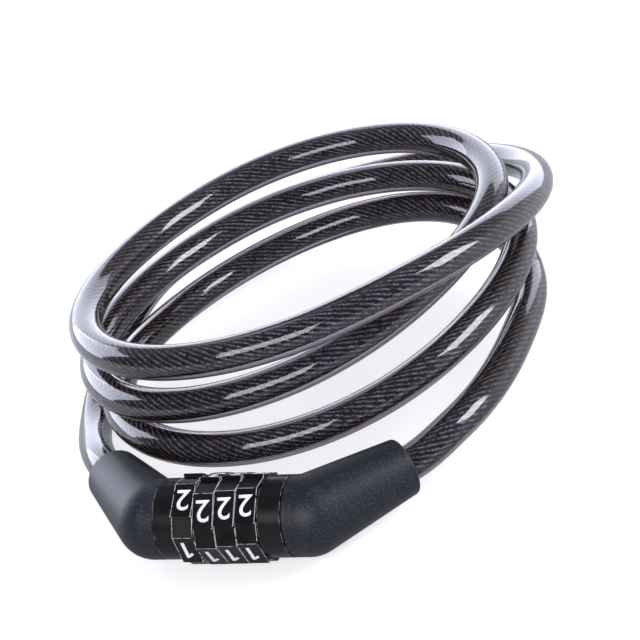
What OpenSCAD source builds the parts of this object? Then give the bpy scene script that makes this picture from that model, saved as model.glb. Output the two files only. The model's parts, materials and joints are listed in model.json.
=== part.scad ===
// Combination cable lock: four numbered dials on a barrel, two elbow covers and a wound steel cable.
// The barrel lies along X on its dials. The lock half is at -X, and the plug half at +X pulls out along +X.

/* [Barrel] */
// Diameter of the collars at both ends of the dials
collar_d = 26.5; // [25:0.1:30]
// Length of the lock body's collar
collar_len = 7; // [5:0.1:10]
// Length of the end cap that the plug closes against
cap_len = 7.8; // [7:0.1:14]
// Diameter of the core tube that the dials turn on
core_d = 12; // [11.6:0.1:13]
// Slit between the end cap and the plug cover
face_gap = 0.2; // [0.1:0.05:0.6]

/* [Dials] */
// Distance from one dial to the next
dial_pitch = 7.3; // [7:0.1:9]
// Slit between neighbouring dials
dial_gap = 0.2; // [0.1:0.05:0.5]
// Diameter over the corners of the flat lands that carry the digits
land_d = 30; // [28:0.1:33]
// Diameter at the foot of the step below each land
step_d = 27.8; // [26.4:0.1:28.6]
// Digits on each dial
digits = 5; // [4:1:6]
// Arc that one land covers, in degrees
land_arc = 45; // [30:1:52]
// Where the shown land of each dial stands, in degrees above the front
land_at = [61, 45, 48, 51]; // [0:1:90]

/* [Code rings] */
// Outer diameter of the code rings under the dials
ring_d = 20; // [19:0.1:21]
// Thickness of each of a ring's two webs
web_t = 1.9; // [1.5:0.1:2.2]
// Diameter of the ring's inner groove, where a lug turns free
groove_d = 15.2; // [14.8:0.1:16]
// Width of the gate that lets a lug through
gate_w = 3.2; // [3:0.1:4]
// Width of the key between ring and dial
key_w = 2; // [1.5:0.1:3]
// Height of that key
key_h = 0.7; // [0.5:0.1:1]

/* [Plug] */
// Diameter of the plug's shank
shank_d = 7; // [6.6:0.1:7.4]
// Distance from the plug's axis to the tip of a lug
lug_reach = 7.2; // [7:0.1:7.3]
// Width of a lug across the slot
lug_w = 2.4; // [2:0.1:2.6]
// Length of a lug along the plug
lug_len = 2.4; // [2:0.1:2.8]
// Shank left of the first lug
tip_len = 3; // [2:0.1:3.4]
// Diameter of the flange that seats in the cover
flange_d = 18; // [16:0.5:20]
// Thickness of that flange
flange_t = 3; // [2:0.1:4]
// Diameter of the knuckle where the shank meets its stub
knuckle_d = 8.4; // [8:0.1:9]
// Length of the stub that points at the cable
stub_len = 11; // [9:0.5:13]
// How far the plug comes out beyond the point where its tip is free
travel_over = 2; // [1:0.5:6]

/* [Covers] */
// Distance from the barrel's end to the elbow's bend
bend_off = 5; // [4:0.1:8]
// Angle of the arms to the barrel, in degrees
arm_angle = 45; // [35:1:50]
// Length of an arm from the bend to its mouth
arm_len = 36; // [34:0.5:40]
// Diameter of an arm at its mouth
mouth_d = 19.6; // [18:0.1:24]
// Rounding of the mouth's rim
mouth_edge = 1; // [0.5:0.1:2.5]
// Rounding of the cover's edge at the barrel
cover_edge = 0.4; // [0.2:0.1:0.8]

/* [Cable] */
// Diameter over the plastic sheath
cable_d = 12; // [11:0.1:12.2]
// Diameter of the steel rope inside it
rope_d = 5.8; // [5:0.1:6]
// Depth of the sheath in the mouth of a cover
seat_depth = 14; // [12:0.5:15]

/* [Ferrules and pins] */
// Outer diameter of the sleeves that join rope and stub
ferrule_d = 10; // [9:0.1:11]
// Distance from the bend to the sleeve's near end
ferrule_at = 5; // [4.5:0.1:6]
// Distance from the bend to the cross pin
pin_at = 8; // [7.5:0.1:9]
// Diameter of the cross pins
pin_d = 2; // [1.5:0.1:2.4]
// Length of the cross pins
pin_len = 16; // [13:0.5:18]
// Diameter of the end cap's pin
cap_pin_d = 2; // [1.5:0.1:2.4]

/* [Click spring] */
// Width of the leaf spring
leaf_w = 3; // [2.5:0.1:3.4]
// Thickness of the leaf spring
leaf_t = 0.4; // [0.3:0.05:0.5]
// Radius of its humps
hump_r = 0.8; // [0.6:0.05:0.9]
// Radius of the notches in the rings that the humps fall into
notch_r = 1.3; // [1.2:0.05:1.5]

/* [Fits] */
// Running clearance on the radius, between what turns or slides
run_fit = 0.08; // [0.05:0.01:0.1]
// Clearance on the radius between pieces that are fixed to each other
seat_fit = 0.05; // [0.02:0.01:0.1]
// Clearance beside and under a lug
lug_fit = 0.2; // [0.15:0.05:0.4]
// Room round the sheath in a mouth
mouth_fit = 0.15; // [0.1:0.05:0.3]

/* [Hidden] */
$fn = 64;

// Barrel stations along X, with the middle of the barrel at x = 0
dial_count = 4;
barrel_len = collar_len + dial_count * dial_pitch + cap_len;
barrel_end = barrel_len / 2;
dials_at = collar_len - barrel_end;
cap_at = dials_at + dial_count * dial_pitch;
bend_x = barrel_end + bend_off;
ring_len = dial_pitch - 1.5 * dial_gap;
groove_len = ring_len - 2 * web_t;
function dial_mid(i) = dials_at + (i + 0.5) * dial_pitch;

// The plug, from its tip to the flange
tip_x = dial_mid(0) - lug_len / 2 - tip_len;
plug_travel = barrel_end - tip_x + travel_over;
slot_w = lug_w + 2 * lug_fit;
slot_x = dial_mid(0) - lug_len / 2 - lug_fit;
key_reach = groove_d / 2;

// Where the part stands: on its dials' corners, with its bounding box centred over the origin
corners = [for (shown = land_at) for (k = [0:digits - 1]) for (end = [-1, 1])
  shown + end * land_arc / 2 + k * 360 / digits];
front_reach = land_d / 2 * max([for (a = corners) cos(a)]);
cover_d = collar_d;
arm_side = (arm_len - mouth_edge) * sin(arm_angle) + (mouth_d / 2 - mouth_edge) * cos(arm_angle)
  + mouth_edge;
axis_y = (front_reach - arm_side) / 2;
axis_z = land_d / 2 * max([for (a = corners) -sin(a)]);
// A cutter runs this far past what it cuts
past = 1;
// The sleeve lies this far inside the ball that it runs into, so that the two cross cleanly
sleeve_in = 0.03;
ball_steps = 28;
edge_steps = 8;

// Cable: room for the rope, and where each length starts inside the covers
rope_room = 0.2;
sheath_bore = rope_d + 2 * rope_room;
sheath_start = arm_len - seat_depth;
rope_gap = 0.3;
rope_start = stub_len + rope_gap;

// The wound turns, written as angles in degrees and sizes in millimetres from the barrel's middle.
// A turn is a circle that shrinks and climbs and drifts towards the barrel, a little oval and tilted.
turn_r = 89;
turn_shrink = 6;
turn_mid = [-3, 117];
turn_drift = [-1, -11.5];
drift_back = 4;
oval = 7.5;
oval_at = 24;
climb_from = 2;
climb = 29;
climb_slack = 3;
tilt = 6.5;
tilt_at = 3;
// The last turn swings out by this much and then drops to the floor
swing = 20.5;
swing_arc = [905, 1065];
drop = 40;
drop_arc = [1020, 1185];
// Where turns lie on each other they are pushed in or up: angle, spread, outwards, upwards
nudges = [[60, 60, -14.5, 12.5], [210, 60, -12, 7.5], [610, 60, -5.5, -2.5]];
coil_from = 20;
coil_to = 1235;
coil_step = 15;
// Free stretches between the covers' mouths and the coil, measured from the barrel's middle and the floor
lead_points = [[66, 44, 17.5], [76, 95, 18]];
tail_points = [[-81.5, 73.5, 6.5]];

function ease(t) = let(u = min(max(t, 0), 1)) u * u * (3 - 2 * u);
function part_of(a, arc) = (a - arc[0]) / (arc[1] - arc[0]);
function nudge(a, k) = [for (n = nudges) n[k] * exp(-pow((a - n[0]) / n[1], 2))] * [for (n = nudges) 1];
function coil_r(a) = turn_r - turn_shrink * a / 360 + swing * ease(part_of(a, swing_arc))
  + oval * sin(2 * (a - oval_at)) + nudge(a, 2);
function coil_z(a) = climb_from + climb * a / 360 - climb_slack * pow(a / 360, 2) + tilt * cos(a - tilt_at)
  - drop * ease(part_of(a, drop_arc)) + nudge(a, 3);
function coil_point(a) = [
  turn_mid[0] + turn_drift[0] * a / 360 + coil_r(a) * cos(a),
  axis_y + turn_mid[1] + turn_drift[1] * a / 360 + drift_back * pow(a / 360, 2) + coil_r(a) * sin(a),
  coil_z(a)];

// A point on an arm's axis, from the bend: side is 1 for the plug half and -1 for the lock half
function arm_point(side, s) = [side * (bend_x + s * cos(arm_angle)), axis_y + s * sin(arm_angle), axis_z];
function from_barrel(points) = [for (p = points) p + [0, axis_y, 0]];
coil_points = [for (a = [coil_from:coil_step:coil_to]) coil_point(a)];
route = concat([arm_point(1, sheath_start), arm_point(1, arm_len)], from_barrel(lead_points), coil_points,
  from_barrel(tail_points), [arm_point(-1, arm_len), arm_point(-1, sheath_start)]);
last = len(route) - 1;
lead_end = 2 + len(lead_points);
tail_start = lead_end + len(coil_points) - 1;

// The direction of the route at each of its points, straight inside the covers
function way(i) = i == 0 || i == 1 ? unit(route[1] - route[0])
  : i >= last - 1 ? unit(route[last] - route[last - 1])
  : let(back = norm(route[i] - route[i - 1]), ahead = norm(route[i + 1] - route[i]))
    (ahead * (route[i] - route[i - 1]) / back + back * (route[i + 1] - route[i]) / ahead) / (ahead + back);
function unit(v) = v / norm(v);
// A smooth curve from route point i to the next, and its direction, at t from 0 to 1
function along(i, t) = let(h = norm(route[i + 1] - route[i]))
  (2 * pow(t, 3) - 3 * t * t + 1) * route[i] + (pow(t, 3) - 2 * t * t + t) * h * way(i)
  + (3 * t * t - 2 * pow(t, 3)) * route[i + 1] + (pow(t, 3) - t * t) * h * way(i + 1);
function heading(i, t) = let(h = norm(route[i + 1] - route[i]))
  unit((6 * t * t - 6 * t) * (route[i] - route[i + 1]) + (3 * t * t - 4 * t + 1) * h * way(i)
  + (3 * t * t - 2 * t) * h * way(i + 1));
// Stations [place, direction] along the route, with n steps in each stretch between two of its points
function stations(from, to, n) = concat(
  [for (i = [from:to - 1]) for (k = [0:n - 1]) [along(i, k / n), heading(i, k / n)]],
  [[route[to], unit(way(to))]]);
lead_steps = 4;
lead_run = stations(1, lead_end, lead_steps);
lead_stations = concat(stations(0, 1, 1), [for (k = [1:len(lead_run) - 1]) lead_run[k]]);
coil_stations = stations(lead_end, tail_start, 1);
tail_run = stations(tail_start, last - 1, lead_steps);
wound_stations = concat(coil_stations, [for (k = [1:len(tail_run) - 1]) tail_run[k]],
  [[route[last], unit(way(last))]]);

// The least distance between stretches of the wound tube that lie next to each other
self_gap = min([for (i = [0:len(wound_stations) - 1]) for (k = [i + 4:1:len(wound_stations) - 1])
  norm(wound_stations[i][0] - wound_stations[k][0])]) - cable_d;
echo(least_gap_of_coil = self_gap);
free_len = [for (s = [lead_stations, wound_stations])
  [for (i = [1:len(s) - 1]) norm(s[i][0] - s[i - 1][0])] * [for (i = [1:len(s) - 1]) 1]];
echo(cable_lengths = free_len);

// ---- Building blocks ----

// Lays a shape that rises along Z on the barrel's axis, its own X towards +Y
module on_axis(x = 0) translate([x, axis_y, axis_z]) rotate([90, 0, 90]) children();

// Lays a shape that rises along Z on an arm's axis, from the bend; side 1 is the plug half
module on_arm(side, s = 0)
  translate(arm_point(side, s)) rotate([0, 90, side > 0 ? arm_angle : 180 - arm_angle]) children();

// One ring of a swept tube: level across, so that neighbouring rings never twist
function ring(station, r, sides) = let(
  across = unit(cross([0, 0, 1], station[1])),
  up = cross(station[1], across))
  [for (k = [0:sides - 1]) station[0] + r * (cos(360 * k / sides) * across + sin(360 * k / sides) * up)];

// Triangles between ring row i and the next, out of rings of the given number of sides
function wall(i, sides, first = 0, flip = false) = [for (k = [0:sides - 1]) let(
  a = first + i * sides + k, b = first + i * sides + (k + 1) % sides)
  each flip ? [[a, b + sides, a + sides], [a, b, b + sides]]
    : [[a, a + sides, b + sides], [a, b + sides, b]]];

// A solid rope along stations
module rope(path, d, sides) {
  n = len(path);
  polyhedron([for (s = path) each ring(s, d / 2, sides)],
    concat([for (i = [0:n - 2]) each wall(i, sides, flip = true)],
      [for (k = [1:sides - 2]) [0, k + 1, k]],
      [for (k = [1:sides - 2]) [(n - 1) * sides, (n - 1) * sides + k, (n - 1) * sides + k + 1]]));
}

// A hollow sheath along stations
module sheath(path, d, bore, sides) {
  n = len(path);
  inner = n * sides;
  polyhedron(concat([for (s = path) each ring(s, d / 2, sides)],
    [for (s = path) each ring(s, bore / 2, sides)]),
    concat([for (i = [0:n - 2]) each wall(i, sides, flip = true)],
      [for (i = [0:n - 2]) each wall(i, sides, first = inner)],
      [for (k = [0:sides - 1]) let(m = (k + 1) % sides) each [[k, inner + k, inner + m], [k, inner + m, m]]],
      [for (k = [0:sides - 1]) let(m = (k + 1) % sides, e = inner - sides)
        each [[e + k, inner + e + m, inner + e + k], [e + k, e + m, inner + e + m]]]));
}

// Points of an arc in a profile
function arc(centre, r, from, to, n) =
  [for (k = [0:n]) let(a = from + (to - from) * k / n) centre + r * [cos(a), sin(a)]];

// ---- Covers ----

// Outline of an arm with its ball at the bend: radius against distance, the flank touching the ball
module arm_profile() {
  ball_r = cover_d / 2;
  mouth_r = mouth_d / 2;
  touch = 90 - atan2(mouth_r, arm_len) - acos(ball_r / norm([arm_len, mouth_r]));
  polygon(concat(arc([0, 0], ball_r, -90, touch, ball_steps),
    arc([mouth_r - mouth_edge, arm_len - mouth_edge], mouth_edge, touch, 90, edge_steps), [[0, arm_len]]));
}

// Moulded shell of one half; face_x is where it meets the barrel, and the ball is cut off level with it
module cover(side, face_x) difference() {
  union() {
    on_arm(side) rotate_extrude() arm_profile();
    barrel_sleeve(side, face_x);
  }
  mirror([side > 0 ? 0 : 1, 0, 0]) on_axis(face_x - cover_d) cylinder(d = 2 * cover_d, h = cover_d);
  cover_bores(side, face_x);
}

// The short straight stretch between barrel and bend
module barrel_sleeve(side, face_x) {
  sleeve_d = cover_d - 2 * sleeve_in;
  mirror([side > 0 ? 0 : 1, 0, 0]) {
    on_axis(face_x + cover_edge) cylinder(d = sleeve_d, h = bend_x - face_x - cover_edge);
    on_axis(face_x) cylinder(d1 = sleeve_d - 2 * cover_edge, d2 = sleeve_d, h = cover_edge);
  }
}

// Everything that is let into a cover: flange, shank, knuckle, stub, sleeve, pin and cable
module cover_bores(side, face_x) {
  mirror([side > 0 ? 0 : 1, 0, 0]) {
    on_axis(face_x - past) cylinder(d = flange_d + 2 * seat_fit, h = flange_t + seat_fit + past);
    on_axis(face_x) cylinder(d = shank_d + 2 * seat_fit, h = bend_x - face_x);
  }
  knuckle(side, seat_fit);
  on_arm(side) cylinder(d = shank_d + 2 * seat_fit, h = ferrule_at);
  on_arm(side, ferrule_at - seat_fit) cylinder(d = ferrule_d + 2 * seat_fit, h = arm_len - ferrule_at);
  on_arm(side, sheath_start - seat_fit) cylinder(d = cable_d + 2 * mouth_fit, h = seat_depth + past);
  translate(arm_point(side, pin_at) - [0, 0, pin_len / 2 + seat_fit])
    cylinder(d = pin_d + 2 * seat_fit, h = pin_len + 2 * seat_fit);
}

module lock_cover() color([0.2, 0.2, 0.24]) cover(-1, barrel_end);
module plug_cover() color([0.2, 0.2, 0.24]) cover(1, barrel_end + face_gap);

// ---- Inside the covers ----

// Upright boss at the bend, where shank and stub meet
module knuckle(side, room) translate(arm_point(side, 0) - [0, 0, knuckle_d / 2 + room])
  cylinder(d = knuckle_d + 2 * room, h = knuckle_d + 2 * room);

// Flange, shank, knuckle and stub of one half, up to the sleeve
module bent_stub(side, face_x) {
  mirror([side > 0 ? 0 : 1, 0, 0]) {
    on_axis(face_x) cylinder(d = flange_d, h = flange_t);
    on_axis(face_x) cylinder(d = shank_d, h = bend_x - face_x);
  }
  knuckle(side, 0);
  difference() {
    on_arm(side) cylinder(d = shank_d, h = stub_len);
    cross_hole(side);
  }
}

module cross_hole(side) translate(arm_point(side, pin_at) - [0, 0, pin_len / 2 + past])
  cylinder(d = pin_d + 2 * seat_fit, h = pin_len + 2 * past);

module ferrule(side) difference() {
  on_arm(side, ferrule_at) cylinder(d = ferrule_d, h = sheath_start - ferrule_at - seat_fit);
  on_arm(side, ferrule_at - past)
    cylinder(d = shank_d + 2 * seat_fit, h = sheath_start - ferrule_at + 2 * past);
  cross_hole(side);
}

module cross_pin(side)
  translate(arm_point(side, pin_at) - [0, 0, pin_len / 2]) cylinder(d = pin_d, h = pin_len);

module plug_ferrule() color("silver") ferrule(1);
module lock_ferrule() color("silver") ferrule(-1);
module plug_cross_pin() color("dimgray") cross_pin(1);
module lock_cross_pin() color("dimgray") cross_pin(-1);

// ---- Fixed half of the barrel ----

module lock_body() color([0.12, 0.12, 0.13]) difference() {
  union() {
    bent_stub(-1, barrel_end);
    on_axis(-barrel_end) cylinder(d = collar_d, h = collar_len - dial_gap / 2);
    on_axis(-barrel_end) cylinder(d = core_d, h = barrel_len);
  }
  on_axis(tip_x - seat_fit) cylinder(d = shank_d + 2 * run_fit, h = barrel_len);
  lug_slot(slot_x, slot_w, core_d / 2 + past);
  on_axis(dials_at - leaf_end) translate([-leaf_bed_w / 2, leaf_bed_y, 0])
    cube([leaf_bed_w, core_d, leaf_len + 2 * leaf_end]);
  cap_pin_hole();
}

// Slot for the lugs, below the axis, from x to beyond the barrel's end
module lug_slot(x, w, reach)
  translate([x, axis_y - w / 2, axis_z - reach]) cube([barrel_end - x + past, w, reach]);

// The leaf spring's bed along the top of the core, over the floor that it leaves above the shank
leaf_end = 0.3;
leaf_short = 1;
leaf_floor = 1.2;
leaf_len = dial_count * dial_pitch - leaf_short;
leaf_bed_w = leaf_w + 2 * seat_fit;
leaf_bed_y = shank_d / 2 + run_fit + leaf_floor;

module end_cap() color([0.12, 0.12, 0.13]) difference() {
  on_axis(cap_at + dial_gap / 2) cylinder(d = collar_d, h = cap_len - dial_gap / 2);
  on_axis(cap_at - past) cylinder(d = core_d + 2 * seat_fit, h = cap_len + 2 * past);
  lug_slot(cap_at - past, gate_w, key_reach);
  cap_pin_hole();
}

// The pin comes in from the back, level with the axis, short of the shank and of the cap's outside
cap_pin_short = 0.8;
cap_pin_sunk = 0.6;
cap_pin_in = shank_d / 2 + run_fit + cap_pin_short;
cap_pin_out = collar_d / 2 - cap_pin_sunk;
module cap_pin_at() translate([cap_at + cap_len / 2, axis_y, axis_z]) rotate([-90, 0, 0]) children();
module cap_pin_hole() cap_pin_at() translate([0, 0, cap_pin_in - seat_fit])
  cylinder(d = cap_pin_d + 2 * seat_fit, h = collar_d / 2);
module end_cap_pin() color("silver") cap_pin_at() translate([0, 0, cap_pin_in])
  cylinder(d = cap_pin_d, h = cap_pin_out - cap_pin_in);

// Leaf with one hump under each ring's first web
module click_spring() color("lightsteelblue") on_axis(dials_at + leaf_end) {
  translate([-leaf_w / 2, leaf_bed_y + seat_fit, 0]) cube([leaf_w, leaf_t, leaf_len]);
  for (i = [0:dial_count - 1]) translate([0, leaf_bed_y + seat_fit, hump_z(i)])
    intersection() {
      cylinder(r = hump_at + hump_r - leaf_bed_y - seat_fit, h = hump_len);
      translate([-hump_r, leaf_t / 2, 0]) cube([2 * hump_r, core_d, hump_len]);
    }
}
// Where the humps stand: clear of the web's two faces, with their middles just inside the core's surface
hump_inset = 0.3;
hump_low = 0.1;
hump_len = web_t - 2 * hump_inset;
hump_at = core_d / 2 - hump_low;
function hump_z(i) = dial_mid(i) - ring_len / 2 + hump_inset - dials_at - leaf_end;

// ---- Dials ----

// Outline of a dial: flat lands, each followed by a step down and a ramp up to the next land's corner.
// Laid on the barrel's axis, the outline's angle of 180 degrees is the front.
front = 180;
module dial_outline(shown)
  polygon([for (k = [0:digits - 1]) each land_corners(front - shown + k * 360 / digits, land_arc / 2)]);
function land_corners(middle, half) =
  [at(land_d / 2, middle - half), at(land_d / 2, middle + half), at(step_d / 2, middle + half)];
function at(r, a) = r * [cos(a), sin(a)];

module dial(i) color([0.1, 0.1, 0.11]) on_axis(dials_at + i * dial_pitch + dial_gap / 2) difference() {
  linear_extrude(dial_pitch - dial_gap) dial_outline(land_at[i]);
  translate([0, 0, -past]) cylinder(d = ring_d + 2 * seat_fit, h = dial_pitch + 2 * past);
  translate([0, 0, -past]) linear_extrude(dial_pitch + 2 * past) key(seat_fit);
}

// Key of ring and dial, opposite the gate
module key(room) translate([-key_w / 2 - room, 0]) square([key_w + 2 * room, ring_d / 2 + key_h + room]);

module code_ring(i) color([0.75, 0.62, 0.3]) on_axis(dial_mid(i) - ring_len / 2) difference() {
  union() {
    cylinder(d = ring_d, h = ring_len);
    linear_extrude(ring_len) key(0);
  }
  translate([0, 0, -past]) cylinder(d = core_d + 2 * run_fit, h = ring_len + 2 * past);
  translate([0, 0, web_t]) cylinder(d = groove_d, h = groove_len);
  translate([-gate_w / 2, -groove_d / 2, -past]) cube([gate_w, groove_d / 2, ring_len + 2 * past]);
  for (k = [0:digits - 1]) rotate(k * 360 / digits)
    translate([0, hump_at, -past]) cylinder(r = notch_r, h = web_t + past);
}

module dial_1() dial(0);
module dial_2() dial(1);
module dial_3() dial(2);
module dial_4() dial(3);
module code_ring_1() code_ring(0);
module code_ring_2() code_ring(1);
module code_ring_3() code_ring(2);
module code_ring_4() code_ring(3);

// ---- Plug ----

module plug_shank() color("silver") {
  bent_stub(1, barrel_end + face_gap);
  on_axis(tip_x) cylinder(d = shank_d, h = barrel_end + face_gap + flange_t - tip_x);
  for (i = [0:dial_count - 1]) translate([dial_mid(i) - lug_len / 2, axis_y - lug_w / 2, axis_z - lug_reach])
    cube([lug_len, lug_w, lug_reach]);
}

// ---- Cable ----

lead_sides = 8;
coil_sides = 6;
function rope_path(path, side, at_end) = at_end
  ? concat(path, [[arm_point(side, rope_start), path[len(path) - 1][1]]])
  : concat([[arm_point(side, rope_start), path[0][1]]], path);

module lead_sheath() color([0.3, 0.3, 0.34]) sheath(lead_stations, cable_d, sheath_bore, lead_sides);
module lead_rope() color("gray") rope(rope_path(lead_stations, 1, false), rope_d, lead_sides);
module coil_sheath() color([0.3, 0.3, 0.34]) sheath(wound_stations, cable_d, sheath_bore, coil_sides);
module coil_rope() color("gray") rope(rope_path(wound_stations, -1, true), rope_d, coil_sides);

lock_cover();
plug_cover();
lock_body();
end_cap();
end_cap_pin();
dial_1();
dial_2();
dial_3();
dial_4();
code_ring_1();
code_ring_2();
code_ring_3();
code_ring_4();
click_spring();
plug_shank();
plug_ferrule();
plug_cross_pin();
lock_ferrule();
lock_cross_pin();
lead_sheath();
lead_rope();
coil_sheath();
coil_rope();
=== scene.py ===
import json
import math

import bpy
from mathutils import Matrix, Vector


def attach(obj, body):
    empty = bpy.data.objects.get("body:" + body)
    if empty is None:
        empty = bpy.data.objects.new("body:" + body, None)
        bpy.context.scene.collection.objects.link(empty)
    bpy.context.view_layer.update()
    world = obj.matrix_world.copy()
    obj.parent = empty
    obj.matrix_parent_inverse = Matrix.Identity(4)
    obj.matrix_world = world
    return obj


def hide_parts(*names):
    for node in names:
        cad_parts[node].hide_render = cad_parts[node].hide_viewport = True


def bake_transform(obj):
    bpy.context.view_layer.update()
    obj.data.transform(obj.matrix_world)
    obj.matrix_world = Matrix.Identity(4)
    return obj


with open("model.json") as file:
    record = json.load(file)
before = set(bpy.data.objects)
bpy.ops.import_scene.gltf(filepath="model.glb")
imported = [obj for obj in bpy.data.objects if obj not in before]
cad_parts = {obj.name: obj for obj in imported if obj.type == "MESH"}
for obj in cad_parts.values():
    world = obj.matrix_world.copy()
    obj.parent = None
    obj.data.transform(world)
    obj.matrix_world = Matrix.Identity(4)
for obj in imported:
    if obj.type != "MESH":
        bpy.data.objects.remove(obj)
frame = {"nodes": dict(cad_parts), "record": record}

bpy.ops.object.select_all(action="DESELECT")
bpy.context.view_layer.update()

# ---- Sizes, in metres, and angles, in degrees ----

MM = 0.001
joints = {joint["name"]: joint for joint in frame["record"]["behaviour"]["joints"]}
_, AXIS_Y, AXIS_Z = joints["dial_1_turn"]["pos_m"]
DIAL_MIDDLES = [joints[f"dial_{i}_turn"]["pos_m"][0] for i in (1, 2, 3, 4)]
# From one dial to the next, and where the first one starts
DIAL_PITCH = 7.3 * MM
DIALS_FROM = DIAL_MIDDLES[0] - DIAL_PITCH / 2
# From the barrel's axis to a corner of a land, the arc that a land takes, and from the axis to its middle
CORNER_RADIUS = 15 * MM
LAND_ARC = 45
LAND_RADIUS = CORNER_RADIUS * math.cos(math.radians(LAND_ARC / 2))
# Lands on a dial, one to a figure, and how far above the front each dial's land with the 2 stands
DIGITS = 5
LAND_AT = (61, 45, 48, 51)
# Paint stays along each step's corner, this many degrees wide, but for this much at the dial's sides
STEP_BAND = 3
RIM_BAND = 0.4 * MM

# The covers' arms: where each bends off the barrel's axis, how far it leans, how long it is, and how deep
# the cable sits in it
BEND_X = 27 * MM
ARM_ANGLE = 45
ARM_LENGTH = 36 * MM
SEAT_DEPTH = 14 * MM

CABLE_D = 12 * MM
ROPE_D = 5.8 * MM


# ---- Camera ----

# The picture's side and the focal length, in pixels, and the sensor's width, in millimetres
IMAGE_SIDE = 640
FOCAL = 1993.3
SENSOR = 36
CLIP_START = 10 * MM
CAMERA_AZIMUTH = 24
CAMERA_ELEVATION = 28.16
CAMERA_ROLL = -15.47
CAMERA_DISTANCE = 709.97 * MM
LOOKS_AT = Vector((6.05, 87.12, 30)) * MM


def add_camera():
    turn = math.radians(CAMERA_AZIMUTH)
    rise = math.radians(CAMERA_ELEVATION)
    roll = math.radians(CAMERA_ROLL)
    back = Vector((math.sin(turn) * math.cos(rise), -math.cos(turn) * math.cos(rise), math.sin(rise)))
    level = Vector((math.cos(turn), math.sin(turn), 0))
    up = back.cross(level)
    right = math.cos(roll) * level + math.sin(roll) * up
    top = math.cos(roll) * up - math.sin(roll) * level
    place = Matrix((right, top, back)).transposed().to_4x4()
    place.translation = LOOKS_AT + CAMERA_DISTANCE * back
    data = bpy.data.cameras.new("view")
    data.sensor_width = SENSOR
    data.lens = SENSOR * FOCAL / IMAGE_SIDE
    data.clip_start = CLIP_START
    camera = bpy.data.objects.new("view", data)
    camera.matrix_world = place
    bpy.context.scene.collection.objects.link(camera)
    bpy.context.scene.camera = camera


add_camera()


# ---- The cable's route, the same as the solids' ----

# The wound turns, in millimetres and degrees: a circle that shrinks, climbs and drifts, a little oval and
# tilted, which swings out and drops near its end
TURN_R, TURN_SHRINK = 89, 6
TURN_MID = (-3, 117)
TURN_DRIFT = (-1, -11.5)
DRIFT_BACK = 4
OVAL, OVAL_AT = 7.5, 24
CLIMB_FROM, CLIMB, CLIMB_SLACK = 2, 29, 3
TILT, TILT_AT = 6.5, 3
SWING, SWING_ARC = 20.5, (905, 1065)
DROP, DROP_ARC = 40, (1020, 1185)
# Pushes that shape single turns: the angle each is strongest at, its spread, outwards and upwards
NUDGES = ((60, 60, -14.5, 12.5), (210, 60, -12, 7.5), (610, 60, -5.5, -2.5))
COIL_ANGLES = range(20, 1236, 15)
# Points between the covers and the turns, from under the barrel
LEAD_POINTS = ((66, 44, 17.5), (76, 95, 18))
TAIL_POINT = (-81.5, 73.5, 6.5)


def ease(value, arc):
    """A smooth rise from 0 to 1 over an arc."""
    share = min(max((value - arc[0]) / (arc[1] - arc[0]), 0), 1)
    return share * share * (3 - 2 * share)


def nudge(angle, column):
    return sum(n[column] * math.exp(-((angle - n[0]) / n[1]) ** 2) for n in NUDGES)


def coil_point(angle):
    turns = angle / 360
    radius = TURN_R - TURN_SHRINK * turns + SWING * ease(angle, SWING_ARC)
    radius += OVAL * math.sin(math.radians(2 * (angle - OVAL_AT))) + nudge(angle, 2)
    height = CLIMB_FROM + CLIMB * turns - CLIMB_SLACK * turns ** 2 - DROP * ease(angle, DROP_ARC)
    height += TILT * math.cos(math.radians(angle - TILT_AT)) + nudge(angle, 3)
    side = math.radians(angle)
    x = TURN_MID[0] + TURN_DRIFT[0] * turns + radius * math.cos(side)
    y = TURN_MID[1] + TURN_DRIFT[1] * turns + DRIFT_BACK * turns ** 2 + radius * math.sin(side)
    return from_barrel((x, y, height))


def from_barrel(point):
    """A point in millimetres from under the barrel's axis, in the frame's metres."""
    return Vector(point) * MM + Vector((0, AXIS_Y, 0))


def arm_point(side, distance):
    """A point on an arm's axis, from the bend: side is 1 for the plug half and -1 for the lock half."""
    angle = math.radians(ARM_ANGLE)
    x = side * (BEND_X + distance * math.cos(angle))
    return Vector((x, AXIS_Y + distance * math.sin(angle), AXIS_Z))


route = [arm_point(1, ARM_LENGTH - SEAT_DEPTH), arm_point(1, ARM_LENGTH)]
route += [from_barrel(point) for point in LEAD_POINTS]
LEAD_END = len(route)
route += [coil_point(angle) for angle in COIL_ANGLES]
route += [from_barrel(TAIL_POINT), arm_point(-1, ARM_LENGTH), arm_point(-1, ARM_LENGTH - SEAT_DEPTH)]


def way(i):
    """The route's direction at one of its points, straight inside the covers."""
    if i <= 1:
        return (route[1] - route[0]).normalized()
    if i >= len(route) - 2:
        return (route[-1] - route[-2]).normalized()
    before = route[i] - route[i - 1]
    after = route[i + 1] - route[i]
    near, far = before.length, after.length
    return (far / near * before + near / far * after) / (far + near)


def stretch(first, last, step):
    """Pairs of place and direction along the route, from one of its points to another, about step apart."""
    found = []
    for i in range(first, last):
        chord = (route[i + 1] - route[i]).length
        count = math.ceil(chord / step)
        for k in range(count + (i == last - 1)):
            t = k / count
            place = (2 * t ** 3 - 3 * t * t + 1) * route[i] + (t ** 3 - 2 * t * t + t) * chord * way(i)
            place += (3 * t * t - 2 * t ** 3) * route[i + 1] + (t ** 3 - t * t) * chord * way(i + 1)
            heading = (6 * t * t - 6 * t) * (route[i] - route[i + 1]) / chord
            heading += (3 * t * t - 4 * t + 1) * way(i) + (3 * t * t - 2 * t) * way(i + 1)
            found.append((place, heading.normalized()))
    return found


# ---- Materials ----

# Where most of a noise's values lie, where its middle ones do, and where the grain's highest grow to specks
# of painted glint
SPREAD = (0.3, 0.7)
MIDST = (0.35, 0.65)
SPECKS = (0.50, 0.74)
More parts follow.
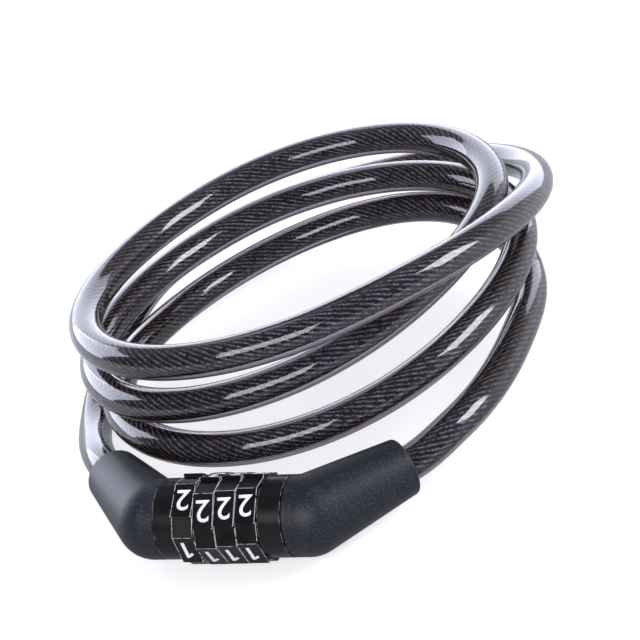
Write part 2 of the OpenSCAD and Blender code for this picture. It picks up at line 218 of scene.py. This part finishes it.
# The cosine between the rounded and the true normal where an edge starts to be bare, and where it is, and
# how soft the ends of each bare stretch are
EDGE_ROUNDS = (0.985, 0.93)
BREAK_SOFTNESS = 0.04
# Waves of noise to a metre: the rings of turning, along the barrel and across it, the stains on bare metal,
# and the haze in the sheath
TURNING = (9000, 500, 500)
STAINS = 180
HAZE = 90
# How far edge on the sheath is seen where its painted rim shade starts, and where it is darkest
EDGE_DARKENS = (0.22, 0.36)


class Nodes:
    """A node tree with short ways to add and join nodes."""

    def __init__(self, tree):
        self.tree = tree

    def put(self, value, socket):
        """Join a socket to the value, where that comes from a node, and otherwise set it."""
        if isinstance(value, bpy.types.NodeSocket):
            self.tree.links.new(value, socket)
        else:
            socket.default_value = value

    def add(self, kind, inputs=(), **settings):
        node = self.tree.nodes.new(kind)
        for name, value in settings.items():
            setattr(node, name, value)
        for name, value in dict(inputs).items():
            self.put(value, node.inputs[name])
        return node

    def math(self, operation, a, b=0.0):
        return self.add("ShaderNodeMath", {0: a, 1: b}, operation=operation).outputs[0]

    def ramp(self, value, low, high, out_low=0.0, out_high=1.0):
        inputs = {"Value": value, "From Min": low, "From Max": high, "To Min": out_low, "To Max": out_high}
        return self.add("ShaderNodeMapRange", inputs).outputs[0]

    def mix(self, share, a, b):
        """Colour a blended to colour b. The node's colour sockets are told from its others by number."""
        return self.add("ShaderNodeMix", {0: share, 6: a, 7: b}, data_type="RGBA").outputs[2]

    def noise(self, vector, scale, detail=2):
        inputs = {"Vector": vector, "Scale": scale, "Detail": detail}
        return self.add("ShaderNodeTexNoise", inputs).outputs["Fac"]

    def scaled(self, vector, scale):
        return self.add("ShaderNodeMapping", {"Vector": vector, "Scale": scale}).outputs[0]

    def bump(self, height, strength, distance):
        inputs = {"Height": height, "Strength": strength, "Distance": distance}
        return self.add("ShaderNodeBump", inputs).outputs[0]


def grey(value):
    return (value, value, value, 1)


def group(name, inputs, outputs):
    """A node group that takes and gives plain numbers: inputs by name and default, outputs by name."""
    tree = bpy.data.node_groups.new(name, "ShaderNodeTree")
    for label, default in inputs.items():
        socket = tree.interface.new_socket(label, in_out="INPUT", socket_type="NodeSocketFloat")
        socket.default_value = default
    for label in outputs:
        tree.interface.new_socket(label, in_out="OUTPUT", socket_type="NodeSocketFloat")
    nodes = Nodes(tree)
    return nodes, nodes.add("NodeGroupInput").outputs, nodes.add("NodeGroupOutput")


def make_grain():
    """Fine moulded or painted grain, from Object coordinates: a height and a slow mottle."""
    inputs = {"Size": 0.4 * MM, "Mottle size": 6 * MM}
    nodes, given, out = group("grain", inputs, ("Height", "Mottle"))
    place = nodes.add("ShaderNodeTexCoord").outputs["Object"]
    fine = nodes.noise(place, nodes.math("DIVIDE", 1, given["Size"]), detail=1)
    slow = nodes.noise(place, nodes.math("DIVIDE", 1, given["Mottle size"]), detail=3)
    nodes.tree.links.new(fine, out.inputs["Height"])
    nodes.tree.links.new(slow, out.inputs["Mottle"])
    return nodes.tree


def make_edge_wear():
    """Where an edge is rubbed bare: a mask from the rounded normal, broken up along the edge."""
    inputs = {"Width": 0.3 * MM, "Break size": 2 * MM, "Keep": 0.5}
    nodes, given, out = group("edge_wear", inputs, ("Mask",))
    rounded = nodes.add("ShaderNodeBevel", {"Radius": given["Width"]}, samples=6).outputs[0]
    true = nodes.add("ShaderNodeNewGeometry").outputs["Normal"]
    product = nodes.add("ShaderNodeVectorMath", {0: rounded, 1: true}, operation="DOT_PRODUCT")
    edge = nodes.ramp(product.outputs["Value"], *EDGE_ROUNDS)
    place = nodes.add("ShaderNodeTexCoord").outputs["Object"]
    breaks = nodes.noise(place, nodes.math("DIVIDE", 1, given["Break size"]))
    worn = nodes.ramp(nodes.math("SUBTRACT", breaks, given["Keep"]), -BREAK_SOFTNESS, BREAK_SOFTNESS)
    nodes.tree.links.new(nodes.math("MULTIPLY", edge, worn), out.inputs["Mask"])
    return nodes.tree


GRAIN = make_grain()
EDGE_WEAR = make_edge_wear()


def material(name):
    """A new material with its nodes, its shader and its output."""
    made = bpy.data.materials.new(name)
    made.use_nodes = True
    made.node_tree.nodes.clear()
    nodes = Nodes(made.node_tree)
    shader = nodes.add("ShaderNodeBsdfPrincipled")
    out = nodes.add("ShaderNodeOutputMaterial", {"Surface": shader.outputs[0]})
    return made, nodes, shader, out


def placed(nodes, tree, **inputs):
    """The outputs of a node group set into a material with its own values."""
    node = nodes.add("ShaderNodeGroup", node_tree=tree)
    for name, value in inputs.items():
        node.inputs[name.replace("_", " ")].default_value = value
    return node.outputs


def feed(nodes, shader, **sockets):
    """Values or links for a shader's sockets, each named as its socket is."""
    for name, value in sockets.items():
        nodes.put(value, shader.inputs[name.replace("_", " ")])


def cover_plastic():
    """Charcoal moulding with a fine grain, and lighter specks painted on its peaks as glints."""
    dark, charcoal = (0.003, 0.004, 0.007, 1), (0.006, 0.007, 0.012, 1)
    glint_speck = (0.036, 0.037, 0.052, 1)
    made, nodes, shader, _ = material("cover_plastic")
    grain = placed(nodes, GRAIN, Size=0.45 * MM, Mottle_size=4 * MM)
    # Lighter specks on the grain's peaks: painted glints of the lit grain
    glint_specks = nodes.ramp(grain["Height"], *SPECKS)
    colour = nodes.mix(glint_specks, nodes.mix(grain["Mottle"], dark, charcoal), glint_speck)
    rough = nodes.ramp(grain["Height"], *SPREAD, 0.42, 0.55)
    normal = nodes.bump(grain["Height"], 0.6, 0.1 * MM)
    feed(nodes, shader, Base_Color=colour, Roughness=rough, Normal=normal, Specular_IOR_Level=0.3)
    return made


def black_paint(name, level, bare, width, keep, land=None):
    """Black paint over steel, rubbed bare along its edges. level and bare are the greys of the two, width is
    how wide an edge shows, and keep how much of it is still painted. On a dial, whose land with the 2
    stands land degrees above the front, the corners at the steps keep their paint."""
    dark, light = grey(level * 0.8), (level * 1.2, level * 1.2, level * 1.35, 1)
    steel = (bare, bare, bare * 1.04, 1)
    made, nodes, shader, _ = material(name)
    grain = placed(nodes, GRAIN, Size=0.6 * MM, Mottle_size=4 * MM)
    wear = placed(nodes, EDGE_WEAR, Width=width, Break_size=1.6 * MM, Keep=keep)["Mask"]
    if land is not None:
        wear = nodes.math("MULTIPLY", wear, off_the_steps(nodes, land))
    colour = nodes.mix(wear, nodes.mix(grain["Mottle"], dark, light), steel)
    finish = nodes.ramp(grain["Mottle"], *SPREAD, 0.24, 0.34)
    normal = nodes.bump(grain["Height"], 0.06, 0.04 * MM)
    feed(nodes, shader, Base_Color=colour, Roughness=finish, Normal=normal, Specular_IOR_Level=0.2)
    return made


def off_the_steps(nodes, land):
    """1 but for a narrow band along each step's corner, where it is 0."""
    place = nodes.add("ShaderNodeTexCoord").outputs["Object"]
    apart = nodes.add("ShaderNodeSeparateXYZ", {0: place}).outputs
    ahead = nodes.math("SUBTRACT", AXIS_Y, apart["Y"])
    above = nodes.math("SUBTRACT", apart["Z"], AXIS_Z)
    turn = nodes.math("MULTIPLY", nodes.math("ARCTAN2", above, ahead), 180 / math.pi)
    # Counted from a whole turn back, so that it is never below 0
    band_from = land - LAND_ARC / 2 - STEP_BAND / 2 - 360
    past = nodes.math("MODULO", nodes.math("SUBTRACT", turn, band_from), 360 / DIGITS)
    in_band = nodes.math("LESS_THAN", past, STEP_BAND)
    along = nodes.math("FLOORED_MODULO", nodes.math("SUBTRACT", apart["X"], DIALS_FROM), DIAL_PITCH)
    from_middle = nodes.math("ABSOLUTE", nodes.math("SUBTRACT", along, DIAL_PITCH / 2))
    on_rim = nodes.math("GREATER_THAN", from_middle, DIAL_PITCH / 2 - RIM_BAND)
    return nodes.math("MAXIMUM", nodes.math("SUBTRACT", 1.0, in_band), on_rim)


def digit_paint():
    """White filling paint, faintly soiled."""
    soiled, white = (0.70, 0.70, 0.72, 1), grey(0.90)
    made, nodes, shader, _ = material("digit_paint")
    grain = placed(nodes, GRAIN, Size=0.5 * MM, Mottle_size=1.2 * MM)
    colour = nodes.mix(nodes.ramp(grain["Mottle"], *MIDST), soiled, white)
    normal = nodes.bump(grain["Height"], 0.1, 0.03 * MM)
    feed(nodes, shader, Base_Color=colour, Roughness=0.45, Normal=normal)
    return made


def turned_metal(name, dark, light, rough):
    """Bare metal with the fine rings of turning, round the barrel's axis."""
    made, nodes, shader, _ = material(name)
    place = nodes.add("ShaderNodeTexCoord").outputs["Object"]
    rings = nodes.noise(nodes.scaled(place, TURNING), 1)
    stains = nodes.noise(place, STAINS, detail=3)
    colour = nodes.mix(nodes.ramp(stains, *MIDST), dark, light)
    finish = nodes.ramp(rings, *SPREAD, rough - 0.08, rough + 0.10)
    normal = nodes.bump(rings, 0.15, 0.03 * MM)
    feed(nodes, shader, Base_Color=colour, Roughness=finish, Metallic=1.0, Normal=normal)
    return made


def sheath_plastic():
    """Smoked clear PVC, with painted brownish shade where it is seen edge on. Lamps reach the rope through
    it, tinted.
    """
    smoke, clearer, edge = (0.33, 0.33, 0.43, 1), (0.40, 0.40, 0.52, 1), (0.16, 0.108, 0.098, 1)
    lamp_tint = (0.40, 0.40, 0.42, 1)
    made, nodes, shader, out = material("sheath_plastic")
    place = nodes.add("ShaderNodeTexCoord").outputs["Object"]
    body = nodes.mix(nodes.noise(place, HAZE), smoke, clearer)
    edge_on = nodes.add("ShaderNodeLayerWeight", {"Blend": 0.5}).outputs["Facing"]
    # Painted shade: the colour turns darker and browner where the sheath is seen edge on
    colour = nodes.mix(nodes.ramp(edge_on, *EDGE_DARKENS), body, edge)
    feed(nodes, shader, Base_Color=colour, Roughness=0.08, Transmission_Weight=1.0, IOR=1.5)
    lamps = nodes.add("ShaderNodeBsdfTransparent", {"Color": lamp_tint})
    shadow = nodes.add("ShaderNodeLightPath").outputs["Is Shadow Ray"]
    surface = nodes.add("ShaderNodeMixShader", {0: shadow, 1: shader.outputs[0], 2: lamps.outputs[0]})
    nodes.tree.links.new(surface.outputs[0], out.inputs["Surface"])
    return made


def sheath_cut():
    """The place inside the sheath where its two stretches join, which light crosses unbent."""
    made, nodes, shader, out = material("sheath_cut")
    nodes.tree.nodes.remove(shader)
    clear = nodes.add("ShaderNodeBsdfTransparent")
    nodes.tree.links.new(clear.outputs[0], out.inputs["Surface"])
    return made


# Lines of wire that show on each strand, and their painted light next to a crest's
WIRES_SEEN = 2
WIRE_LIGHT = 0.30
# How far from its middle a crest's or a wire's painted light ends, and how far it is full, in shares of its
# width
CREST_FADES = (0.16, 0.04)
WIRE_FADES = (0.20, 0.06)
# Painted dashes of light, painted fine glints and patches where the glints are warmer: the waves of noise to
# a strand and to a millimetre of rope, the noise's values where they start to show and where they are full,
# and their light
DASHES, DASHES_SHOW, DASH_LIGHT = (1, 0.50, 1), (0.42, 0.66), 0.60
GLINTS, GLINTS_SHOW, GLINT_LIGHT = (5.0, 1.6, 1), (0.58, 0.66), 1.4
PATCHES, PATCHES_SHOW = (0.35, 0.10, 1), (0.40, 0.56)
# How far apart neighbouring wires lie in the dashes' noise, so that their dashes differ
WIRE_APART = 5.3


def off_middle(nodes, count):
    """How far a running count is from the middle of its step."""
    return nodes.math("ABSOLUTE", nodes.math("SUBTRACT", nodes.math("FRACT", count), 0.5))


def wire_rope():
    """Stranded wire, near black but for short glints painted along the crests of its strands. The map's U
    runs round the rope, one step for each strand, and V along it, in millimetres."""
    near_black, bright, warm = (0.011, 0.011, 0.014, 1), (0.96, 0.94, 0.96, 1), (0.92, 0.74, 0.60, 1)
    made, nodes, shader, _ = material("wire_rope")
    lay = nodes.add("ShaderNodeUVMap", uv_map="lay").outputs[0]
    apart = nodes.add("ShaderNodeSeparateXYZ", {0: lay}).outputs
    wires = nodes.math("MULTIPLY", apart["X"], WIRES_SEEN)
    beside = nodes.ramp(off_middle(nodes, wires), *WIRE_FADES, 0, WIRE_LIGHT)
    crest = nodes.math("MAXIMUM", nodes.ramp(off_middle(nodes, apart["X"]), *CREST_FADES), beside)
    wire_at = nodes.math("MULTIPLY", nodes.math("FLOOR", wires), WIRE_APART)
    on_wire = nodes.add("ShaderNodeCombineXYZ", {"X": wire_at, "Y": apart["Y"]}).outputs[0]
    dashes = nodes.ramp(nodes.noise(nodes.scaled(on_wire, DASHES), 1), *DASHES_SHOW, 0, DASH_LIGHT)
    glints = nodes.ramp(nodes.noise(nodes.scaled(lay, GLINTS), 1, detail=1), *GLINTS_SHOW, 0, GLINT_LIGHT)
    patches = nodes.ramp(nodes.noise(nodes.scaled(lay, PATCHES), 1), *PATCHES_SHOW)
    # Painted glints: bright colour along the strands' crests, in dashes and fine points, warmer in patches
    painted_glint = nodes.math("MULTIPLY", crest, nodes.math("MAXIMUM", dashes, glints))
    colour = nodes.mix(painted_glint, near_black, nodes.mix(patches, bright, warm))
    finish = nodes.ramp(painted_glint, 0, 1, 0.85, 0.40)
    feed(nodes, shader, Base_Color=colour, Roughness=finish, Specular_IOR_Level=0.3)
    return made


COVER_PLASTIC = cover_plastic()
BARREL_BLACK = black_paint("barrel_black", 0.005, 0.35, 0.28 * MM, 0.46)
DIAL_BLACKS = [black_paint(f"dial_black_{i + 1}", 0.004, 0.85, 0.32 * MM, 0.40, land)
               for i, land in enumerate(LAND_AT)]
DIGIT_PAINT = digit_paint()
STEEL = turned_metal("steel", (0.50, 0.50, 0.52, 1), (0.66, 0.66, 0.68, 1), 0.28)
BRASS = turned_metal("brass", (0.52, 0.36, 0.14, 1), (0.72, 0.55, 0.26, 1), 0.30)
SHEATH_PLASTIC = sheath_plastic()
SHEATH_CUT = sheath_cut()
WIRE_ROPE = wire_rope()


# ---- Cable ----

SHEATH_SIDES = 48
# The rope's strands, the points round each, the depth and the sharpness of the grooves between them, and
# the length of one whole twist
STRANDS = 12
STRAND_POINTS = 6
STRAND_DEPTH = 0.14 * MM
GROOVE_SHARPNESS = 3
STRAND_LAY = 42 * MM
RING_STEP = 2 * MM


def tube(name, stations, radii, lay, start_at, slots, ends):
    """A closed tube along stations, with one radius for each point round it, and how far along it ends. lay
    is the length of one twist, ends are the slots of its two end faces, and the UV map counts strands round
    and millimetres along, from start_at."""
    sides = len(radii)
    points, along, rows = [], start_at, []
    for i, (place, heading) in enumerate(stations):
        if i:
            along += (place - stations[i - 1][0]).length
        rows.append(along / MM)
        across = Vector((0, 0, 1)).cross(heading).normalized()
        up = heading.cross(across)
        twist = 2 * math.pi * along / lay if lay else 0.0
        for k, radius in enumerate(radii):
            turn = 2 * math.pi * k / sides + twist
            points.append(place + radius * (math.cos(turn) * across + math.sin(turn) * up))
    faces, uvs = [], []
    for i in range(len(stations) - 1):
        for k in range(sides):
            after = (k + 1) % sides
            faces.append((i * sides + k, i * sides + after, (i + 1) * sides + after, (i + 1) * sides + k))
            low, high = k / STRAND_POINTS, (k + 1) / STRAND_POINTS
            uvs += [(low, rows[i]), (high, rows[i]), (high, rows[i + 1]), (low, rows[i + 1])]
    foot = (len(stations) - 1) * sides
    faces.append(tuple(reversed(range(sides))))
    faces.append(tuple(range(foot, foot + sides)))
    uvs += [(0.0, rows[0])] * sides + [(0.0, rows[-1])] * sides
    mesh = bpy.data.meshes.new(name)
    mesh.from_pydata(points, [], faces)
    layer = mesh.uv_layers.new(name="lay")
    layer.data.foreach_set("uv", [value for uv in uvs for value in uv])
    for slot in slots:
        mesh.materials.append(slot)
    for face in mesh.polygons:
        face.use_smooth = len(face.vertices) == 4
    mesh.polygons[-2].material_index = ends[0]
    mesh.polygons[-1].material_index = ends[1]
    made = bpy.data.objects.new(name, mesh)
    bpy.context.scene.collection.objects.link(made)
    return made, along


def strand_radii():
    """The rope's section: rounded strands side by side round it."""
    radii = []
    for k in range(STRANDS * STRAND_POINTS):
        share = (k % STRAND_POINTS) / STRAND_POINTS
        radii.append(ROPE_D / 2 - STRAND_DEPTH * abs(math.cos(math.pi * share)) ** GROOVE_SHARPNESS)
    return radii


def add_stretch(name, stations, start_at, ends):
    """One stretch of cable: its sheath, its rope, and how far along the cable it ends."""
    smooth = [CABLE_D / 2] * SHEATH_SIDES
    plastics, metals = (SHEATH_PLASTIC, SHEATH_CUT), (WIRE_ROPE,)
    sheath, end_at = tube(f"{name}_cable_sheath", stations, smooth, None, start_at, plastics, ends)
    rope, _ = tube(f"{name}_cable_rope", stations, strand_radii(), STRAND_LAY, start_at, metals, (0, 0))
    return sheath, rope, end_at


def add_cable():
    """The lead, and the wound turns, which meet it at a clear cut."""
    lead = stretch(0, LEAD_END, RING_STEP)
    wound = stretch(LEAD_END, len(route) - 1, RING_STEP)
    lead_sheath, lead_rope, meet_at = add_stretch("lead", lead, 0.0, (0, 1))
    wound_sheath, wound_rope, _ = add_stretch("wound", wound, meet_at, (1, 0))
    for piece in (wound_sheath, wound_rope):
        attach(piece, "lock")
    for piece in (lead_sheath, lead_rope):
        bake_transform(piece)
    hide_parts("coil_sheath")
    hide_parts("coil_rope")
    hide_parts("lead_sheath")
    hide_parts("lead_rope")


add_cable()


# ---- Dials ----

DIGIT_HEIGHT = 7.1 * MM
DIGIT_STRETCH = 1.05
DIGIT_PROUD = 0.06 * MM
DIGIT_SUNK = 0.10 * MM
# How much the typeface is thickened, as a share of its size, and the steps in each of its curves
DIGIT_WEIGHT = 0.005
DIGIT_STEPS = 6
MERGE_WITHIN = 0.01 * MM
# The figure that stands on the land at LAND_AT
SHOWN_FIGURE = 2
# Outline of the figure one, in shares of its height: a stem with a flag
ONE = ((0.08, 0), (0.08, 1), (-0.05, 1), (-0.30, 0.80), (-0.24, 0.67), (-0.08, 0.79), (-0.08, 0))


def digit_mesh(figure):
    """A bold figure, DIGIT_HEIGHT tall, flat and centred on the origin."""
    if figure == 1:
        mesh = bpy.data.meshes.new("figure_1")
        mesh.from_pydata([(x, y, 0) for x, y in ONE], [], [tuple(range(len(ONE)))])
    else:
        data = bpy.data.curves.new(f"figure_{figure}", "FONT")
        data.body = str(figure)
        data.offset = DIGIT_WEIGHT
        data.resolution_u = DIGIT_STEPS
        flat = bpy.data.objects.new(f"figure_{figure}", data)
        bpy.context.scene.collection.objects.link(flat)
        bpy.ops.object.select_all(action="DESELECT")
        flat.select_set(True)
        bpy.context.view_layer.objects.active = flat
        bpy.ops.object.convert(target="MESH")
        mesh = flat.data.copy()
        bpy.data.objects.remove(flat)
    low = [min(v.co[i] for v in mesh.vertices) for i in (0, 1)]
    high = [max(v.co[i] for v in mesh.vertices) for i in (0, 1)]
    tall = DIGIT_HEIGHT / (high[1] - low[1])
    for v in mesh.vertices:
        v.co.x = (v.co.x - (low[0] + high[0]) / 2) * tall * DIGIT_STRETCH
        v.co.y = (v.co.y - (low[1] + high[1]) / 2) * tall
    return mesh


def add_digit(dial, figure, flat):
    """The figure on its land, with its foot towards the top, and a little proud of it."""
    name = f"dial_{dial + 1}_figure_{figure}"
    middle = math.radians(LAND_AT[dial] + (figure - SHOWN_FIGURE) * 360 / DIGITS)
    made = bpy.data.objects.new(name, flat.copy())
    bpy.context.scene.collection.objects.link(made)
    bpy.ops.object.select_all(action="DESELECT")
    made.select_set(True)
    bpy.context.view_layer.objects.active = made
    bpy.ops.object.mode_set(mode="EDIT")
    bpy.ops.mesh.select_all(action="SELECT")
    bpy.ops.mesh.remove_doubles(threshold=MERGE_WITHIN)
    bpy.ops.mesh.extrude_region_move(TRANSFORM_OT_translate={"value": (0, 0, DIGIT_SUNK + DIGIT_PROUD)})
    bpy.ops.mesh.select_all(action="SELECT")
    bpy.ops.mesh.normals_make_consistent(inside=False)
    bpy.ops.object.mode_set(mode="OBJECT")
    out = Vector((0, -math.cos(middle), math.sin(middle)))
    down = Vector((0, -math.sin(middle), -math.cos(middle)))
    centre = Vector((DIAL_MIDDLES[dial], AXIS_Y, AXIS_Z))
    for v in made.data.vertices:
        across = Vector((-v.co.x, 0, 0))
        v.co = centre + across + (LAND_RADIUS - DIGIT_SUNK + v.co.z) * out + v.co.y * down
    made.data.materials.append(DIGIT_PAINT)
    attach(made, f"wheel_{dial + 1}")


def add_digits():
    for figure in range(1, DIGITS + 1):
        flat = digit_mesh(figure)
        for dial in range(len(DIAL_MIDDLES)):
            add_digit(dial, figure, flat)


add_digits()


# ---- Finishes of the solids ----

FINISHES = {
    "lock_cover": COVER_PLASTIC, "plug_cover": COVER_PLASTIC,
    "lock_body": BARREL_BLACK, "end_cap": BARREL_BLACK,
    "end_cap_pin": STEEL, "click_spring": STEEL, "plug_shank": STEEL,
    "plug_ferrule": STEEL, "plug_cross_pin": STEEL, "lock_ferrule": STEEL, "lock_cross_pin": STEEL,
    "lead_sheath": SHEATH_PLASTIC, "coil_sheath": SHEATH_PLASTIC,
    "lead_rope": WIRE_ROPE, "coil_rope": WIRE_ROPE,
}
for i, dial_black in enumerate(DIAL_BLACKS, 1):
    FINISHES[f"dial_{i}"] = dial_black
    FINISHES[f"code_ring_{i}"] = BRASS

for node, finish in FINISHES.items():
    slots = frame["nodes"][node].data.materials
    slots.clear()
    slots.append(finish)


# ---- Stage and light ----

FLOOR_SIDE = 6.0
# The middle of the object, which the lamps face
AIM = Vector((0, 80, 30)) * MM
# Light from all round
FILL = 0.28
FILL_TINT = (0.95, 0.97, 1.0, 1)
# What gloss shows round the object: the room in front, and the backdrop behind, bright low down and fainter
# above. BACKDROP_FADES are heights and BACKDROP_STARTS places along Y, on a sphere of radius 1.
ROOM = 0.15
BACKDROP, BACKDROP_TOP = 1.5, 0.5
BACKDROP_FADES = (0.15, 0.5)
BACKDROP_STARTS = (-0.3, 0.3)
GLOSS_TINT = (0.85, 0.87, 1.0, 1)
# The paper is lifted to white where it is seen, most where it is far, and less where gloss shows it, but
# for its sides
PAPER = (grey(0.45), grey(0.47))
NEAR_LIFT, FAR_LIFT = 0.60, 0.87
FAR = (0.6, 1.6)
GLOSS_LIFT, GLOSS_LIFT_SIDES = 0.15, 0.70
SIDES = (0.08, 0.20)
# The softboxes' tints
COOL = (0.92, 0.94, 1.0)
BLUE = (0.80, 0.83, 1.0)


def white_seen(nodes):
    """1 on rays that show the background: from the camera, in gloss and through the sheath."""
    path = nodes.add("ShaderNodeLightPath").outputs
    seen = nodes.math("MAXIMUM", path["Is Camera Ray"], path["Is Glossy Ray"])
    return nodes.math("MAXIMUM", seen, path["Is Transmission Ray"])


def add_floor():
    """White paper: what the background rays see is lifted to white, and the shadow stays."""
    bpy.ops.mesh.primitive_plane_add(size=FLOOR_SIDE, location=(0, 0, 0))
    floor = bpy.context.object
    floor.name = "floor"
    made, nodes, shader, _ = material("floor_paper")
    place = nodes.add("ShaderNodeTexCoord").outputs["Object"]
    colour = nodes.mix(nodes.noise(place, 2), *PAPER)
    path = nodes.add("ShaderNodeLightPath").outputs
    seen = nodes.math("MAXIMUM", path["Is Camera Ray"], path["Is Transmission Ray"])
    reach = nodes.add("ShaderNodeVectorMath", {0: place}, operation="LENGTH").outputs["Value"]
    seen = nodes.math("MULTIPLY", seen, nodes.ramp(reach, *FAR, NEAR_LIFT, FAR_LIFT))
    aside = nodes.add("ShaderNodeSeparateXYZ", {0: place}).outputs["X"]
    in_gloss = nodes.ramp(nodes.math("ABSOLUTE", aside), *SIDES, GLOSS_LIFT, GLOSS_LIFT_SIDES)
    in_gloss = nodes.math("MULTIPLY", path["Is Glossy Ray"], in_gloss)
    lift = nodes.math("MAXIMUM", seen, in_gloss)
    tint = nodes.mix(path["Is Glossy Ray"], grey(1.0), GLOSS_TINT)
    feed(nodes, shader, Base_Color=colour, Roughness=0.9, Emission_Color=tint, Emission_Strength=lift)
    floor.data.materials.append(made)


def add_world():
    """Plain light from all round, with a white background where it is seen."""
    world = bpy.data.worlds.new("studio")
    world.use_nodes = True
    world.node_tree.nodes.clear()
    nodes = Nodes(world.node_tree)
    fill = nodes.add("ShaderNodeBackground", {"Color": FILL_TINT, "Strength": FILL})
    towards = nodes.add("ShaderNodeTexCoord").outputs["Generated"]
    apart = nodes.add("ShaderNodeSeparateXYZ", {0: towards}).outputs
    height = nodes.ramp(apart["Z"], *BACKDROP_FADES, BACKDROP, BACKDROP_TOP)
    backdrop = nodes.ramp(apart["Y"], *BACKDROP_STARTS, ROOM, height)
    glossy = nodes.add("ShaderNodeLightPath").outputs["Is Glossy Ray"]
    level = nodes.ramp(glossy, 0, 1, out_low=1, out_high=backdrop)
    tint = nodes.mix(glossy, grey(1.0), GLOSS_TINT)
    white = nodes.add("ShaderNodeBackground", {"Color": tint, "Strength": level})
    shown = nodes.add("ShaderNodeMixShader", {0: white_seen(nodes), 1: fill.outputs[0], 2: white.outputs[0]})
    nodes.add("ShaderNodeOutputWorld", {"Surface": shown.outputs[0]})
    bpy.context.scene.world = world


def add_softbox(name, azimuth, elevation, wide, high, distance, radiance, colour):
    """A rectangular lamp facing the object, wide and high degrees across as seen from there."""
    turn, rise = math.radians(azimuth), math.radians(elevation)
    out = Vector((math.sin(turn) * math.cos(rise), math.cos(turn) * math.cos(rise), math.sin(rise)))
    data = bpy.data.lights.new(name, "AREA")
    data.shape = "RECTANGLE"
    data.size = 2 * distance * math.tan(math.radians(wide / 2))
    data.size_y = 2 * distance * math.tan(math.radians(high / 2))
    # A lamp that shines from one side gives off pi times its radiance and its area
    data.energy = math.pi * radiance * data.size * data.size_y
    data.color = colour
    lamp = bpy.data.objects.new(name, data)
    facing = out.to_track_quat("Z", "Y").to_matrix().to_4x4()
    lamp.matrix_world = Matrix.Translation(AIM + distance * out) @ facing
    lamp.visible_transmission = False
    bpy.context.scene.collection.objects.link(lamp)


add_floor()
add_world()
# Azimuth from +Y towards +X, elevation, width and height, in degrees as seen from AIM, then the distance,
# the radiance and the tint
add_softbox("softbox_front", 176, 31, 43, 24, 1.3, 9.0, COOL)
add_softbox("softbox_right", 78, 28, 22, 28, 1.2, 15.0, COOL)
add_softbox("softbox_left", -74, 16, 38, 36, 1.3, 6.0, BLUE)
add_softbox("softbox_back", -17, 12, 76, 38, 1.4, 3.2, BLUE)

bpy.context.scene.view_settings.view_transform = "Standard"
